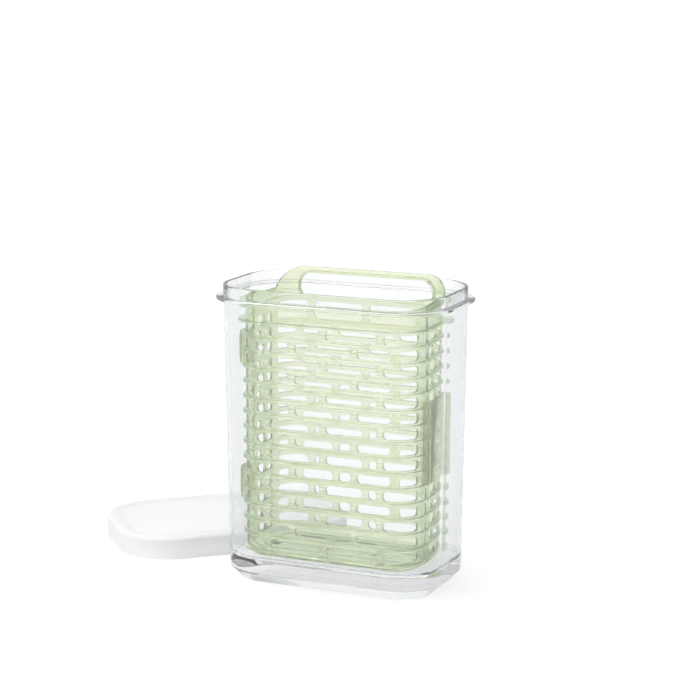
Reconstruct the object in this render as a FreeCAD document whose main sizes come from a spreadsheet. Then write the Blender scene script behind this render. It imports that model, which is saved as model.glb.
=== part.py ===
import FreeCAD, Part
import math
import os
import Sketcher
from FreeCAD import Vector

# Herb keeper: a clear oval container with a thick base, a loose lid, and a slotted basket in
# two halves with a hand hole.
# Millimetres, +Z up, +X to the right of the front, -Y to the front.
# The origin is the middle of the container's underside, on the surface that it stands on.

doc = FreeCAD.newDocument("herb_keeper")

sizes = doc.addObject("Spreadsheet::Sheet", "sizes")
SIZES = [
    # container
    ("keeper_height", 206.0), ("mouth_width", 162.5), ("mouth_depth", 96.6), ("mouth_corner", 33.0),
    ("wall", 2.4), ("wall_draft", 3.2), ("base_thick", 17.0), ("foot_cut", 8.0),
    ("floor_cut", 3.0),
    ("flange_drop", 8.2), ("flange_thick", 2.0), ("flange_proud", 4.9),
    # lid
    ("lid_overhang", 0.75), ("lid_height", 16.5), ("lid_skin", 2.3), ("lid_cut", 2.0),
    ("plug_gap", 0.45), ("plug_wall", 1.6), ("plug_depth", 8.0),
    ("lid_clear", 1.2), ("lid_slide", 23.1), ("lid_turn", 42.9),
    # basket shell, set inside the container
    ("side_room", 16.15), ("front_room", 11.1), ("rim_drop", 10.2), ("seat_gap", 0.3),
    ("basket_width", "=mouth_width - 2 * side_room"),
    ("basket_depth", "=mouth_depth - 2 * front_room"),
    ("rim_height", "=keeper_height - rim_drop - base_thick - seat_gap"),
    ("basket_corner", 20.0), ("basket_wall", 1.6), ("corner_cut", 6.0),
    # ribs round the basket
    ("rib_proud", 2.0), ("rib_root", 1.45), ("rib_thick", 1.6), ("collar_proud", 4.7),
    ("collar_drop", 3.0), ("rib_low", 5.9), ("row_count", 15.0),
    ("rib_pitch", "=(rim_height - collar_drop - rib_low) / (row_count + 1)"),
    # windows between the ribs
    ("window_land", 3.8), ("window_tall", "=rib_pitch - window_land"), ("window_clip", 1.8),
    ("web_wide", 5.0), ("web_mid", "=0.321 * basket_width"),
    ("web_inner", "=0.176 * basket_width"), ("web_outer", "=0.3925 * basket_width"),
    ("reach_inset", 2.1), ("front_reach", "=basket_width / 2 - reach_inset"),
    ("low_tall", 2.5), ("low_up", 2.4),
    ("corner_post", 0.6), ("side_front", "=0.09 * basket_depth"),
    ("side_run", "=basket_depth / 2 - basket_corner - corner_post + side_front"),
    ("side_web_odd", "=0.61 * side_run - side_front"),
    ("side_web_even", "=0.352 * side_run - side_front"),
    # handle over the back wall
    ("handle_rise", 14.5), ("handle_inset", 1.8), ("handle_sweep", 16.3),
    ("handle_end", "=basket_width / 2 - handle_inset"),
    ("handle_flat", "=handle_end - handle_sweep"), ("hole_inset", 13.3),
    ("hole_wide", "=2 * (handle_end - hole_inset)"),
    ("hole_tall", 18.7), ("hole_round", 8.5), ("hole_margin", 4.5),
    ("bead_wide", 1.8), ("bead_proud", 1.0),
    # parting plane, hinge ears and latch plate
    ("parting_front", "=0.188 * basket_depth"), ("parting_gap", 0.3), ("ear_wide", 5.2),
    ("ear_reach", 6.2), ("ear_tall", 23.3), ("ear_drop", 20.2), ("ear_pitch", "=9 * rib_pitch"),
    ("strap_thick", 1.3), ("strap_tall", 17.0), ("latch_drop", 58.9), ("latch_tall", 57.1),
    ("latch_thick", 1.8), ("latch_back", 18.0), ("latch_gap", 0.3), ("latch_round", 3.0),
    ("latch_foot", 4.5),
    # slots in the basket's floor
    ("slot_pitch", "=0.292 * basket_width"), ("slot_between", 8.0), ("slot_wide", 5.0),
    ("slot_long", "=slot_pitch - slot_between"), ("slot_row", "=0.161 * basket_depth"),
    ("slot_first", "=0.054 * basket_depth"), ("slot_door", "=0.296 * basket_depth"),
]
for row, (alias, value) in enumerate(SIZES, start=1):
    sizes.set("A%d" % row, alias)
    sizes.set("B%d" % row, str(value))
    sizes.setAlias("B%d" % row, alias)
doc.recompute()


def expand(text):
    """Put the sheet's name before each word of an expression."""
    return text.replace("@", "sizes.")


def size(alias):
    return float(sizes.get(alias))


# Levels and outlines that several pieces share, as expressions on the sheet.
DRAFT = "atan(@wall_draft / @keeper_height)"
BASKET_LOW = "(@base_thick + @seat_gap)"
BASKET_RIM = "(@base_thick + @seat_gap + @rim_height)"
COLLAR_LEVEL = "(%s - @collar_drop)" % BASKET_RIM
HANDLE_TOP = "(%s + @handle_rise)" % BASKET_RIM
HOLE_LEVEL = "(%s - @hole_margin - @hole_tall / 2)" % HANDLE_TOP
FIRST_ROW = "(%s - 1.5 * @rib_pitch)" % COLLAR_LEVEL
QUARTER_TURN = math.pi / 2


def origin_plane(body, role):
    for feature in body.Origin.OriginFeatures:
        if feature.Role == role:
            return feature
    raise RuntimeError("no origin plane " + role)


def new_sketch(body, name, role, lift="0"):
    """A sketch on one of the body's own origin planes, moved along its normal by lift."""
    sketch = body.newObject("Sketcher::SketchObject", name)
    sketch.AttachmentSupport = [(origin_plane(body, role), "")]
    sketch.MapMode = "FlatFace"
    sketch.setExpression(".AttachmentOffset.Base.z", expand(lift))
    return sketch


def value_of(sketch, expression):
    result = sketch.evalExpression(expand(expression))
    return float(getattr(result, "Value", result))


def drive(sketch, index, expression):
    sketch.setExpression(".Constraints[%d]" % index, expand(expression))


def rounded_loop(sketch, wide, tall, corner, mid_x="0", mid_y="0"):
    """Add a closed rectangle with round corners, driven by expressions."""
    half_w = value_of(sketch, wide) / 2
    half_t = value_of(sketch, tall) / 2
    r = value_of(sketch, corner)
    cx = value_of(sketch, mid_x)
    cy = value_of(sketch, mid_y)
    first = sketch.GeometryCount
    centres = [(cx - half_w + r, cy - half_t + r), (cx + half_w - r, cy - half_t + r),
               (cx + half_w - r, cy + half_t - r), (cx - half_w + r, cy + half_t - r)]
    for turn, (x, y) in enumerate(centres):
        circle = Part.Circle(Vector(x, y, 0), Vector(0, 0, 1), r)
        start = (turn + 2) * QUARTER_TURN
        sketch.addGeometry(Part.ArcOfCircle(circle, start, start + QUARTER_TURN), False)
    arcs = list(range(first, first + 4))
    for side in range(4):
        here = sketch.Geometry[arcs[side]].EndPoint
        there = sketch.Geometry[arcs[(side + 1) % 4]].StartPoint
        sketch.addGeometry(Part.LineSegment(here, there), False)
    lines = list(range(first + 4, first + 8))
    rules = []
    for side in range(4):
        rules.append(Sketcher.Constraint("Tangent", arcs[side], 2, lines[side], 1))
        rules.append(Sketcher.Constraint("Tangent", lines[side], 2, arcs[(side + 1) % 4], 1))
    rules.append(Sketcher.Constraint("Horizontal", lines[0]))
    rules.append(Sketcher.Constraint("Vertical", lines[1]))
    rules.append(Sketcher.Constraint("Horizontal", lines[2]))
    rules.append(Sketcher.Constraint("Vertical", lines[3]))
    for side in range(1, 4):
        rules.append(Sketcher.Constraint("Equal", arcs[0], arcs[side]))
    sketch.addConstraint(rules)
    driven = [
        (Sketcher.Constraint("Radius", arcs[0], r), corner),
        (Sketcher.Constraint("DistanceX", arcs[0], 3, arcs[1], 3, 2 * (half_w - r)),
         "(%s) - 2 * (%s)" % (wide, corner)),
        (Sketcher.Constraint("DistanceY", arcs[1], 3, arcs[2], 3, 2 * (half_t - r)),
         "(%s) - 2 * (%s)" % (tall, corner)),
        (Sketcher.Constraint("DistanceX", -1, 1, arcs[0], 3, centres[0][0]),
         "(%s) - (%s) / 2 + (%s)" % (mid_x, wide, corner)),
        (Sketcher.Constraint("DistanceY", -1, 1, arcs[0], 3, centres[0][1]),
         "(%s) - (%s) / 2 + (%s)" % (mid_y, tall, corner)),
    ]
    for constraint, expression in driven:
        drive(sketch, sketch.addConstraint(constraint), expression)


def plain_loop(sketch, wide, tall, mid_x, mid_y):
    """Add a closed rectangle driven by expressions."""
    half_w = value_of(sketch, wide) / 2
    half_t = value_of(sketch, tall) / 2
    cx = value_of(sketch, mid_x)
    cy = value_of(sketch, mid_y)
    first = sketch.GeometryCount
    points = [Vector(cx - half_w, cy - half_t, 0), Vector(cx + half_w, cy - half_t, 0),
              Vector(cx + half_w, cy + half_t, 0), Vector(cx - half_w, cy + half_t, 0)]
    for side in range(4):
        sketch.addGeometry(Part.LineSegment(points[side], points[(side + 1) % 4]), False)
    lines = list(range(first, first + 4))
    rules = []
    for side in range(4):
        rules.append(Sketcher.Constraint("Coincident", lines[side], 2, lines[(side + 1) % 4], 1))
        rules.append(Sketcher.Constraint("Vertical" if side % 2 else "Horizontal", lines[side]))
    sketch.addConstraint(rules)
    driven = [
        (Sketcher.Constraint("DistanceX", lines[0], 1, lines[0], 2, 2 * half_w), wide),
        (Sketcher.Constraint("DistanceY", lines[1], 1, lines[1], 2, 2 * half_t), tall),
        (Sketcher.Constraint("DistanceX", -1, 1, lines[0], 1, points[0].x),
         "(%s) - (%s) / 2" % (mid_x, wide)),
        (Sketcher.Constraint("DistanceY", -1, 1, lines[0], 1, points[0].y),
         "(%s) - (%s) / 2" % (mid_y, tall)),
    ]
    for constraint, expression in driven:
        drive(sketch, sketch.addConstraint(constraint), expression)


def clipped_loop(sketch, wide, tall, clip, mid_x, mid_y):
    """Add a closed rectangle with its corners cut at 45 degrees, driven by expressions."""
    half_w = value_of(sketch, wide) / 2
    half_t = value_of(sketch, tall) / 2
    c = value_of(sketch, clip)
    cx = value_of(sketch, mid_x)
    cy = value_of(sketch, mid_y)
    first = sketch.GeometryCount
    corners = [(-half_w + c, -half_t), (half_w - c, -half_t), (half_w, -half_t + c),
               (half_w, half_t - c), (half_w - c, half_t), (-half_w + c, half_t),
               (-half_w, half_t - c), (-half_w, -half_t + c)]
    points = [Vector(cx + x, cy + y, 0) for x, y in corners]
    for side in range(8):
        sketch.addGeometry(Part.LineSegment(points[side], points[(side + 1) % 8]), False)
    lines = list(range(first, first + 8))
    rules = []
    for side in range(8):
        rules.append(Sketcher.Constraint("Coincident", lines[side], 2, lines[(side + 1) % 8], 1))
    for side in range(4):
        kind = "Horizontal" if side % 2 == 0 else "Vertical"
        rules.append(Sketcher.Constraint(kind, lines[2 * side]))
    for side in (3, 5, 7):
        rules.append(Sketcher.Constraint("Equal", lines[1], lines[side]))
        rules.append(Sketcher.Constraint("Parallel" if side == 5 else "Perpendicular",
                                         lines[1], lines[side]))
    sketch.addConstraint(rules)
    driven = [
        (Sketcher.Constraint("DistanceX", lines[1], 1, lines[1], 2, c), clip),
        (Sketcher.Constraint("DistanceY", lines[1], 1, lines[1], 2, c), clip),
        (Sketcher.Constraint("DistanceX", lines[0], 1, lines[0], 2, 2 * (half_w - c)),
         "(%s) - 2 * (%s)" % (wide, clip)),
        (Sketcher.Constraint("DistanceY", lines[2], 1, lines[2], 2, 2 * (half_t - c)),
         "(%s) - 2 * (%s)" % (tall, clip)),
        (Sketcher.Constraint("DistanceX", -1, 1, lines[0], 1, points[0].x),
         "(%s) - (%s) / 2 + (%s)" % (mid_x, wide, clip)),
        (Sketcher.Constraint("DistanceY", -1, 1, lines[0], 1, points[0].y),
         "(%s) - (%s) / 2" % (mid_y, tall)),
    ]
    for constraint, expression in driven:
        drive(sketch, sketch.addConstraint(constraint), expression)


def new_body(name):
    body = doc.addObject("PartDesign::Body", name)
    body.Label = name
    return body


def pad(body, name, sketch, length, taper=None, downward=False, symmetric=False):
    feature = body.newObject("PartDesign::Pad", name)
    feature.Profile = sketch
    feature.setExpression("Length", expand(length))
    feature.Reversed = downward
    if symmetric:
        feature.SideType = "Symmetric"
    if taper:
        feature.setExpression("TaperAngle", expand(taper))
    sketch.Visibility = False
    return feature


def pocket(body, name, sketch, length=None, taper=None, upward=False):
    """A cut of a given length, or through everything on both sides of the sketch."""
    feature = body.newObject("PartDesign::Pocket", name)
    feature.Profile = sketch
    if length is None:
        feature.SideType = "Symmetric"
        feature.Type = "ThroughAll"
    else:
        feature.Type = "Length"
        feature.setExpression("Length", expand(length))
        feature.Reversed = upward
    if taper:
        feature.setExpression("TaperAngle", expand(taper))
    sketch.Visibility = False
    return feature


def pattern_down(body, name, feature, pitch, count):
    """Repeat a feature downward along Z."""
    repeat = body.newObject("PartDesign::LinearPattern", name)
    repeat.Originals = [feature]
    repeat.Direction = (origin_plane(body, "Z_Axis"), [""])
    repeat.Reversed = True
    repeat.Mode = "Spacing"
    repeat.setExpression("Offset", expand(pitch))
    repeat.setExpression("Occurrences", expand(count))
    body.Tip = repeat
    return repeat


def level_edges(shape, level):
    """Names of the edges that lie at one level."""
    names = []
    for number, edge in enumerate(shape.Edges, start=1):
        box = edge.BoundBox
        if abs(box.ZMin - level) < 0.01 and abs(box.ZMax - level) < 0.01:
            names.append("Edge%d" % number)
    return names


def bevel(body, name, base, edges, across):
    """A flat bevel on some edges."""
    feature = body.newObject("PartDesign::Chamfer", name)
    feature.Base = (base, edges)
    feature.setExpression("Size", expand(across))
    doc.recompute()
    return feature


def check_cut(feature, before):
    """A cut that points away from the solid takes nothing off: stop there."""
    if feature.Shape.Volume > before - 1.0:
        raise RuntimeError(feature.Name + " cuts nothing")


# Container: one clear moulding, drawn in towards its thick base, with a ring for the lid.
def make_container():
    body = new_body("container")
    foot = new_sketch(body, "foot_outline", "XY_Plane")
    rounded_loop(foot, "@mouth_width - 2 * @wall_draft", "@mouth_depth - 2 * @wall_draft",
                 "@mouth_corner - @wall_draft")
    block = pad(body, "block", foot, "@keeper_height", DRAFT)
    doc.recompute()
    bevel(body, "foot_edge", block, level_edges(block.Shape, 0), "@foot_cut")
    ring = new_sketch(body, "flange_outline", "XY_Plane",
                      "@keeper_height - @flange_drop - @flange_thick")
    rounded_loop(ring, "@mouth_width + 2 * @flange_proud", "@mouth_depth + 2 * @flange_proud",
                 "@mouth_corner + @flange_proud")
    flange = pad(body, "flange", ring, "@flange_thick")
    doc.recompute()
    mouth = new_sketch(body, "mouth_outline", "XY_Plane", "@keeper_height")
    rounded_loop(mouth, "@mouth_width - 2 * @wall", "@mouth_depth - 2 * @wall",
                 "@mouth_corner - @wall")
    hollow = pocket(body, "hollow", mouth, "@keeper_height - @base_thick", "-(%s)" % DRAFT)
    doc.recompute()
    check_cut(hollow, flange.Shape.Volume)
    bevel(body, "floor_edge", hollow, level_edges(hollow.Shape, size("base_thick")), "@floor_cut")
    return body


# Lid: a shallow cap with a plug ring inside, taken off and lying beside the container.
def make_lid():
    body = new_body("lid")
    wide = "@mouth_width + 2 * (@flange_proud + @lid_overhang)"
    deep = "@mouth_depth + 2 * (@flange_proud + @lid_overhang)"
    corner = "@mouth_corner + @flange_proud + @lid_overhang"
    outer = new_sketch(body, "lid_outline", "XY_Plane")
    rounded_loop(outer, wide, deep, corner)
    block = pad(body, "lid_block", outer, "@lid_height")
    doc.recompute()
    top = bevel(body, "lid_edge", block, level_edges(block.Shape, size("lid_height")), "@lid_cut")
    inner = new_sketch(body, "lid_inside", "XY_Plane")
    rounded_loop(inner, wide + " - 2 * @lid_skin", deep + " - 2 * @lid_skin",
                 corner + " - @lid_skin")
    hollow = pocket(body, "lid_hollow", inner, "@lid_height - @lid_skin", upward=True)
    doc.recompute()
    check_cut(hollow, top.Shape.Volume)
    ring = new_sketch(body, "plug_outline", "XY_Plane", "@lid_height - @lid_skin / 2")
    plug_w = "@mouth_width - 2 * (@wall + @plug_gap)"
    plug_d = "@mouth_depth - 2 * (@wall + @plug_gap)"
    plug_r = "@mouth_corner - @wall - @plug_gap"
    rounded_loop(ring, plug_w, plug_d, plug_r)
    rounded_loop(ring, plug_w + " - 2 * @plug_wall", plug_d + " - 2 * @plug_wall",
                 plug_r + " - @plug_wall")
    pad(body, "plug_ring", ring, "@plug_depth + @lid_skin / 2", downward=True)
    # The long side of the lid faces the container's left back corner, a small gap away.
    away = "(@mouth_corner - @wall_draft + @lid_clear + @mouth_depth / 2" \
           " + @flange_proud + @lid_overhang)"
    left = "(@mouth_width / 2 - @mouth_corner + %s * sin(@lid_turn)" % away \
           + " + @lid_slide * cos(@lid_turn))"
    back = "(@mouth_depth / 2 - @mouth_corner + %s * cos(@lid_turn)" % away \
           + " - @lid_slide * sin(@lid_turn))"
    body.setExpression(".Placement.Base.x", expand("-" + left))
    body.setExpression(".Placement.Base.y", expand(back))
    body.setExpression(".Placement.Rotation.Angle", expand("@lid_turn"))
    doc.recompute()
    return body


def window_row(body, name, role, level, spans, clipped, tall="@window_tall"):
    """One row of windows, each span given by its two ends."""
    sketch = new_sketch(body, name, role)
    for low, high in spans:
        wide = "(%s) - (%s)" % (high, low)
        middle = "((%s) + (%s)) / 2" % (high, low)
        if clipped:
            clipped_loop(sketch, wide, tall, "@window_clip", middle, level)
        else:
            plain_loop(sketch, wide, tall, middle, level)
    return sketch


def mirrored(spans):
    """The spans and their images on the other side of the middle."""
    return spans + [("-(%s)" % high, "-(%s)" % low) for low, high in spans]


def between_webs(webs, end):
    """Spans from web to web, outward to the end of the row."""
    half = "@web_wide / 2"
    starts = ["%s + %s" % (web, half) for web in webs]
    stops = ["%s - %s" % (web, half) for web in webs[1:]] + [end]
    return list(zip(starts, stops))


def cut_windows(body, wall, role, spans, clipped=False):
    """Brick pattern: odd rows from the first, even rows from the second."""
    rows = [("odd", FIRST_ROW, "ceil(@row_count / 2)"),
            ("even", "%s - @rib_pitch" % FIRST_ROW, "floor(@row_count / 2)")]
    for kind, level, count in rows:
        name = "%s_%s" % (wall, kind)
        row = window_row(body, name + "_outline", role, level, spans[kind], clipped)
        cut = pocket(body, name, row)
        cut.Refine = False
        doc.recompute()
        pattern_down(body, name + "_rows", cut, "2 * @rib_pitch", count).Refine = False
        doc.recompute()


def basket_shell(body, top):
    """The whole basket's wall, floor and ribs, before it is parted in two."""
    outline = new_sketch(body, "outline", "XY_Plane", BASKET_LOW)
    rounded_loop(outline, "@basket_width", "@basket_depth", "@basket_corner")
    block = pad(body, "shell", outline, "%s - %s" % (top, BASKET_LOW))
    doc.recompute()
    low = size("base_thick") + size("seat_gap")
    inside = new_sketch(body, "inside_outline", "XY_Plane", top)
    rounded_loop(inside, "@basket_width - 2 * @basket_wall", "@basket_depth - 2 * @basket_wall",
                 "@basket_corner - @basket_wall")
    hollow = pocket(body, "inside", inside, "%s - %s - @basket_wall" % (top, BASKET_LOW))
    doc.recompute()
    check_cut(hollow, block.Shape.Volume)
    eased = bevel(body, "inside_edge", hollow,
                  level_edges(hollow.Shape, low + size("basket_wall")),
                  "@corner_cut - (2 - sqrt(2)) * @basket_wall")
    bevel(body, "shell_edge", eased, level_edges(eased.Shape, low), "@corner_cut")
    kinds = [("collar", "@collar_proud", COLLAR_LEVEL, "2"),
             ("rib", "@rib_proud", "%s - 2 * @rib_pitch" % COLLAR_LEVEL, "@row_count")]
    for name, proud, level, count in kinds:
        sketch = new_sketch(body, name + "_outline", "XY_Plane", level)
        rounded_loop(sketch, "@basket_width + 2 * " + proud, "@basket_depth + 2 * " + proud,
                     "@basket_corner + " + proud)
        rounded_loop(sketch, "@basket_width - 2 * @rib_root", "@basket_depth - 2 * @rib_root",
                     "@basket_corner - @rib_root")
        ring = pad(body, name, sketch, "@rib_thick", symmetric=True)
        doc.recompute()
        pattern_down(body, name + "_stack", ring, "@rib_pitch", count)
        doc.recompute()


def part_off(body, name, far, near):
    """Cut away everything between two planes across the basket."""
    sketch = new_sketch(body, name + "_outline", "XY_Plane")
    plain_loop(sketch, "2 * @mouth_width", "(%s) - (%s)" % (far, near),
               "0", "((%s) + (%s)) / 2" % (far, near))
    before = body.Shape.Volume
    cut = pocket(body, name, sketch)
    doc.recompute()
    check_cut(cut, before)


def floor_slots(body, name, rows):
    """Rows of three slots through the basket's floor."""
    sketch = new_sketch(body, name + "_outline", "XY_Plane", BASKET_LOW)
    for row in rows:
        for column in ("-@slot_pitch", "0", "@slot_pitch"):
            plain_loop(sketch, "@slot_long", "@slot_wide", column, row)
    before = body.Shape.Volume
    cut = pocket(body, name, sketch, "2 * @basket_wall", upward=True)
    doc.recompute()
    check_cut(cut, before)


def box_pad(body, name, x_span, y_span, low, high):
    """A plain block between two X values, two Y values and two levels."""
    sketch = new_sketch(body, name + "_outline", "XY_Plane", low)
    plain_loop(sketch, "(%s) - (%s)" % (x_span[1], x_span[0]),
               "(%s) - (%s)" % (y_span[1], y_span[0]),
               "((%s) + (%s)) / 2" % x_span, "((%s) + (%s)) / 2" % y_span)
    feature = pad(body, name, sketch, "(%s) - (%s)" % (high, low))
    doc.recompute()
    return feature


FRONT_SPANS = {
    "odd": mirrored(between_webs(["0", "@web_mid"], "@front_reach")),
    "even": mirrored(between_webs(["@web_inner", "@web_outer"], "@front_reach"))
    + [("-@web_inner + @web_wide / 2", "@web_inner - @web_wide / 2")],
}
LOW_SPANS = mirrored(between_webs(["0", "@web_mid"], "@web_outer"))
LOW_LEVEL = "%s + @low_up + @low_tall / 2" % BASKET_LOW
BACK_REACH = "@basket_width / 2 - @basket_corner - @corner_post"
SIDE_REACH = "@basket_depth / 2 - @basket_corner - @corner_post"
BACK_SPANS = {
    "odd": mirrored(between_webs(["0"], "@web_mid - @web_wide / 2")),
    "even": mirrored(between_webs(["@web_inner"], BACK_REACH))
    + [("-@web_inner + @web_wide / 2", "@web_inner - @web_wide / 2")],
}
SIDE_SPANS = {
    "odd": [("-@side_front", "@side_web_odd - @web_wide / 2"),
            ("@side_web_odd + @web_wide / 2", SIDE_REACH)],
    "even": [("-@side_front", "@side_web_even - @web_wide / 2"),
             ("@side_web_even + @web_wide / 2", SIDE_REACH)],
}
WALL_SIDE = "(@basket_width / 2)"
RIB_SIDE = "(@basket_width / 2 + @rib_proud)"
EAR_SIDE = "(@basket_width / 2 + @ear_reach)"
SEAM = "(-@parting_front)"


def ear_levels(number):
    high = "%s - @ear_drop - %d * @ear_pitch" % (COLLAR_LEVEL, number)
    return "%s - @ear_tall" % high, high


# Basket, back half: the back wall with its handle, the sides and most of the floor.
def make_basket_body():
    body = new_body("basket_body")
    basket_shell(body, "(%s + @rib_pitch)" % HANDLE_TOP)
    crest = new_sketch(body, "crest_outline", "XZ_Plane")
    crest_profile(crest)
    check_cut_after(body, "crest", crest, body.Shape.Volume)
    bead = new_sketch(body, "bead_outline", "XZ_Plane", "-@basket_depth / 2 - @bead_proud")
    rounded_loop(bead, "@hole_wide + 2 * @bead_wide", "@hole_tall + 2 * @bead_wide",
                 "@hole_round + @bead_wide", "0", HOLE_LEVEL)
    pad(body, "bead", bead, "@basket_wall + 2 * @bead_proud")
    doc.recompute()
    hole = new_sketch(body, "hole_outline", "XZ_Plane")
    rounded_loop(hole, "@hole_wide", "@hole_tall", "@hole_round", "0", HOLE_LEVEL)
    check_cut_after(body, "hole", hole, body.Shape.Volume)
    part_off(body, "parting", "-@parting_front + @parting_gap", "-@mouth_depth")
    floor_slots(body, "slots", ["-@slot_first + %d * @slot_row" % row for row in range(3)])
    for number in range(2):
        low, high = ear_levels(number)
        box_pad(body, "ear_%d" % (number + 1), ("-" + EAR_SIDE, "-%s + @basket_wall / 2" % WALL_SIDE),
                ("%s + @parting_gap" % SEAM, "%s + @parting_gap + @ear_wide" % SEAM), low, high)
    cut_windows(body, "back", "XZ_Plane", BACK_SPANS)
    cut_windows(body, "side", "YZ_Plane", SIDE_SPANS)
    return body


def check_cut_after(body, name, sketch, before):
    cut = pocket(body, name, sketch)
    doc.recompute()
    check_cut(cut, before)


def crest_profile(sketch):
    """Everything above the rim outside the handle: flat crest, then an arc down to each side."""
    rim = value_of(sketch, BASKET_RIM)
    top = value_of(sketch, HANDLE_TOP)
    flat = size("handle_flat")
    end = size("handle_end")
    wide = size("mouth_width")
    over = top + 2 * size("rib_pitch")
    # The arc leaves the crest level and reaches the rim at the handle's end.
    rise = top - rim
    radius = ((end - flat) ** 2 + rise ** 2) / (2 * rise)
    half_turn = math.atan2(end - flat, radius - rise) / 2
    middle_x = flat + radius * math.sin(half_turn)
    middle_z = top - radius + radius * math.cos(half_turn)
    points = {
        "rim_left": Vector(-wide, rim, 0), "end_left": Vector(-end, rim, 0),
        "flat_left": Vector(-flat, top, 0), "flat_right": Vector(flat, top, 0),
        "end_right": Vector(end, rim, 0), "rim_right": Vector(wide, rim, 0),
        "over_right": Vector(wide, over, 0), "over_left": Vector(-wide, over, 0),
    }
    sketch.addGeometry(Part.LineSegment(points["rim_left"], points["end_left"]), False)
    sketch.addGeometry(Part.Arc(points["end_left"], Vector(-middle_x, middle_z, 0),
                                points["flat_left"]), False)
    sketch.addGeometry(Part.LineSegment(points["flat_left"], points["flat_right"]), False)
    sketch.addGeometry(Part.Arc(points["flat_right"], Vector(middle_x, middle_z, 0),
                                points["end_right"]), False)
    sketch.addGeometry(Part.LineSegment(points["end_right"], points["rim_right"]), False)
    sketch.addGeometry(Part.LineSegment(points["rim_right"], points["over_right"]), False)
    sketch.addGeometry(Part.LineSegment(points["over_right"], points["over_left"]), False)
    sketch.addGeometry(Part.LineSegment(points["over_left"], points["rim_left"]), False)
    rules = [
        Sketcher.Constraint("Coincident", 0, 2, 1, arc_end(sketch, 1, points["end_left"])),
        Sketcher.Constraint("Tangent", 2, 1, 1, arc_end(sketch, 1, points["flat_left"])),
        Sketcher.Constraint("Tangent", 2, 2, 3, arc_end(sketch, 3, points["flat_right"])),
        Sketcher.Constraint("Coincident", 4, 1, 3, arc_end(sketch, 3, points["end_right"])),
        Sketcher.Constraint("Coincident", 4, 2, 5, 1),
        Sketcher.Constraint("Coincident", 5, 2, 6, 1),
        Sketcher.Constraint("Coincident", 6, 2, 7, 1),
        Sketcher.Constraint("Coincident", 7, 2, 0, 1),
        Sketcher.Constraint("Horizontal", 0), Sketcher.Constraint("Horizontal", 2),
        Sketcher.Constraint("Horizontal", 4), Sketcher.Constraint("Vertical", 5),
        Sketcher.Constraint("Horizontal", 6), Sketcher.Constraint("Vertical", 7),
    ]
    sketch.addConstraint(rules)
    driven = [
        (Sketcher.Constraint("DistanceX", -1, 1, 2, 2, flat), "@handle_flat"),
        (Sketcher.Constraint("DistanceX", 2, 1, -1, 1, flat), "@handle_flat"),
        (Sketcher.Constraint("DistanceY", -1, 1, 2, 2, top), HANDLE_TOP),
        (Sketcher.Constraint("DistanceX", -1, 1, 4, 1, end), "@handle_end"),
        (Sketcher.Constraint("DistanceX", 0, 2, -1, 1, end), "@handle_end"),
        (Sketcher.Constraint("DistanceY", -1, 1, 4, 1, rim), BASKET_RIM),
        (Sketcher.Constraint("DistanceY", -1, 1, 0, 2, rim), BASKET_RIM),
        (Sketcher.Constraint("DistanceX", -1, 1, 5, 1, wide), "@mouth_width"),
        (Sketcher.Constraint("DistanceX", 7, 1, -1, 1, wide), "@mouth_width"),
        (Sketcher.Constraint("DistanceY", 5, 1, 5, 2, over - rim), "@handle_rise + 2 * @rib_pitch"),
    ]
    for constraint, expression in driven:
        drive(sketch, sketch.addConstraint(constraint), expression)


def arc_end(sketch, index, point):
    """Which end of an arc lies at a point: 1 for its start, 2 for its end."""
    return 1 if sketch.Geometry[index].StartPoint.distanceToPoint(point) < 0.001 else 2


# Basket, front half: the door, with the latch plate on its right and hinge ears on its left.
def make_basket_door():
    body = new_body("basket_door")
    basket_shell(body, BASKET_RIM)
    part_off(body, "parting", "@mouth_depth", "-@parting_front")
    floor_slots(body, "slots", ["-@slot_door"])
    for number in range(2):
        low, high = ear_levels(number)
        box_pad(body, "ear_%d" % (number + 1), ("-" + EAR_SIDE, "-%s + @basket_wall / 2" % WALL_SIDE),
                ("%s - @ear_wide" % SEAM, SEAM), low, high)
        trim = "(@ear_tall - @strap_tall) / 2"
        box_pad(body, "strap_%d" % (number + 1),
                ("-%s - @strap_thick" % EAR_SIDE, "-" + EAR_SIDE),
                ("%s - @ear_wide + @strap_thick" % SEAM,
                 "%s + @parting_gap + @ear_wide - @strap_thick" % SEAM),
                "%s + %s" % (low, trim), "%s - %s" % (high, trim))
    latch_high = "%s - @latch_drop" % COLLAR_LEVEL
    latch_low = "%s - @latch_tall" % latch_high
    box_pad(body, "latch_foot", ("%s - @basket_wall / 2" % WALL_SIDE,
                                 "%s + @latch_gap + @latch_thick" % RIB_SIDE),
            ("%s - @latch_foot" % SEAM, SEAM), latch_low, latch_high)
    plate = new_sketch(body, "latch_outline", "YZ_Plane", "%s + @latch_gap" % RIB_SIDE)
    rounded_loop(plate, "@latch_back - %s + @latch_foot" % SEAM, "@latch_tall", "@latch_round",
                 "(@latch_back + %s - @latch_foot) / 2" % SEAM,
                 "(%s) - @latch_tall / 2" % latch_high)
    pad(body, "latch", plate, "@latch_thick")
    doc.recompute()
    cut_windows(body, "front", "XZ_Plane", FRONT_SPANS, clipped=True)
    low_row = window_row(body, "low_slots_outline", "XZ_Plane", LOW_LEVEL, LOW_SPANS,
                         False, "@low_tall")
    check_cut_after(body, "low_slots", low_row, body.Shape.Volume)
    return body


pieces = [make_container(), make_lid(), make_basket_body(), make_basket_door()]
doc.recompute()

for item in doc.Objects:
    if "Invalid" in item.State or "Error" in item.State:
        raise RuntimeError("%s failed: %s" % (item.Name, item.State))
for piece in pieces:
    if piece.Shape.isNull() or not piece.Shape.isValid() or len(piece.Shape.Solids) != 1:
        raise RuntimeError("%s has %d solids" % (piece.Label, len(piece.Shape.Solids)))

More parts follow.
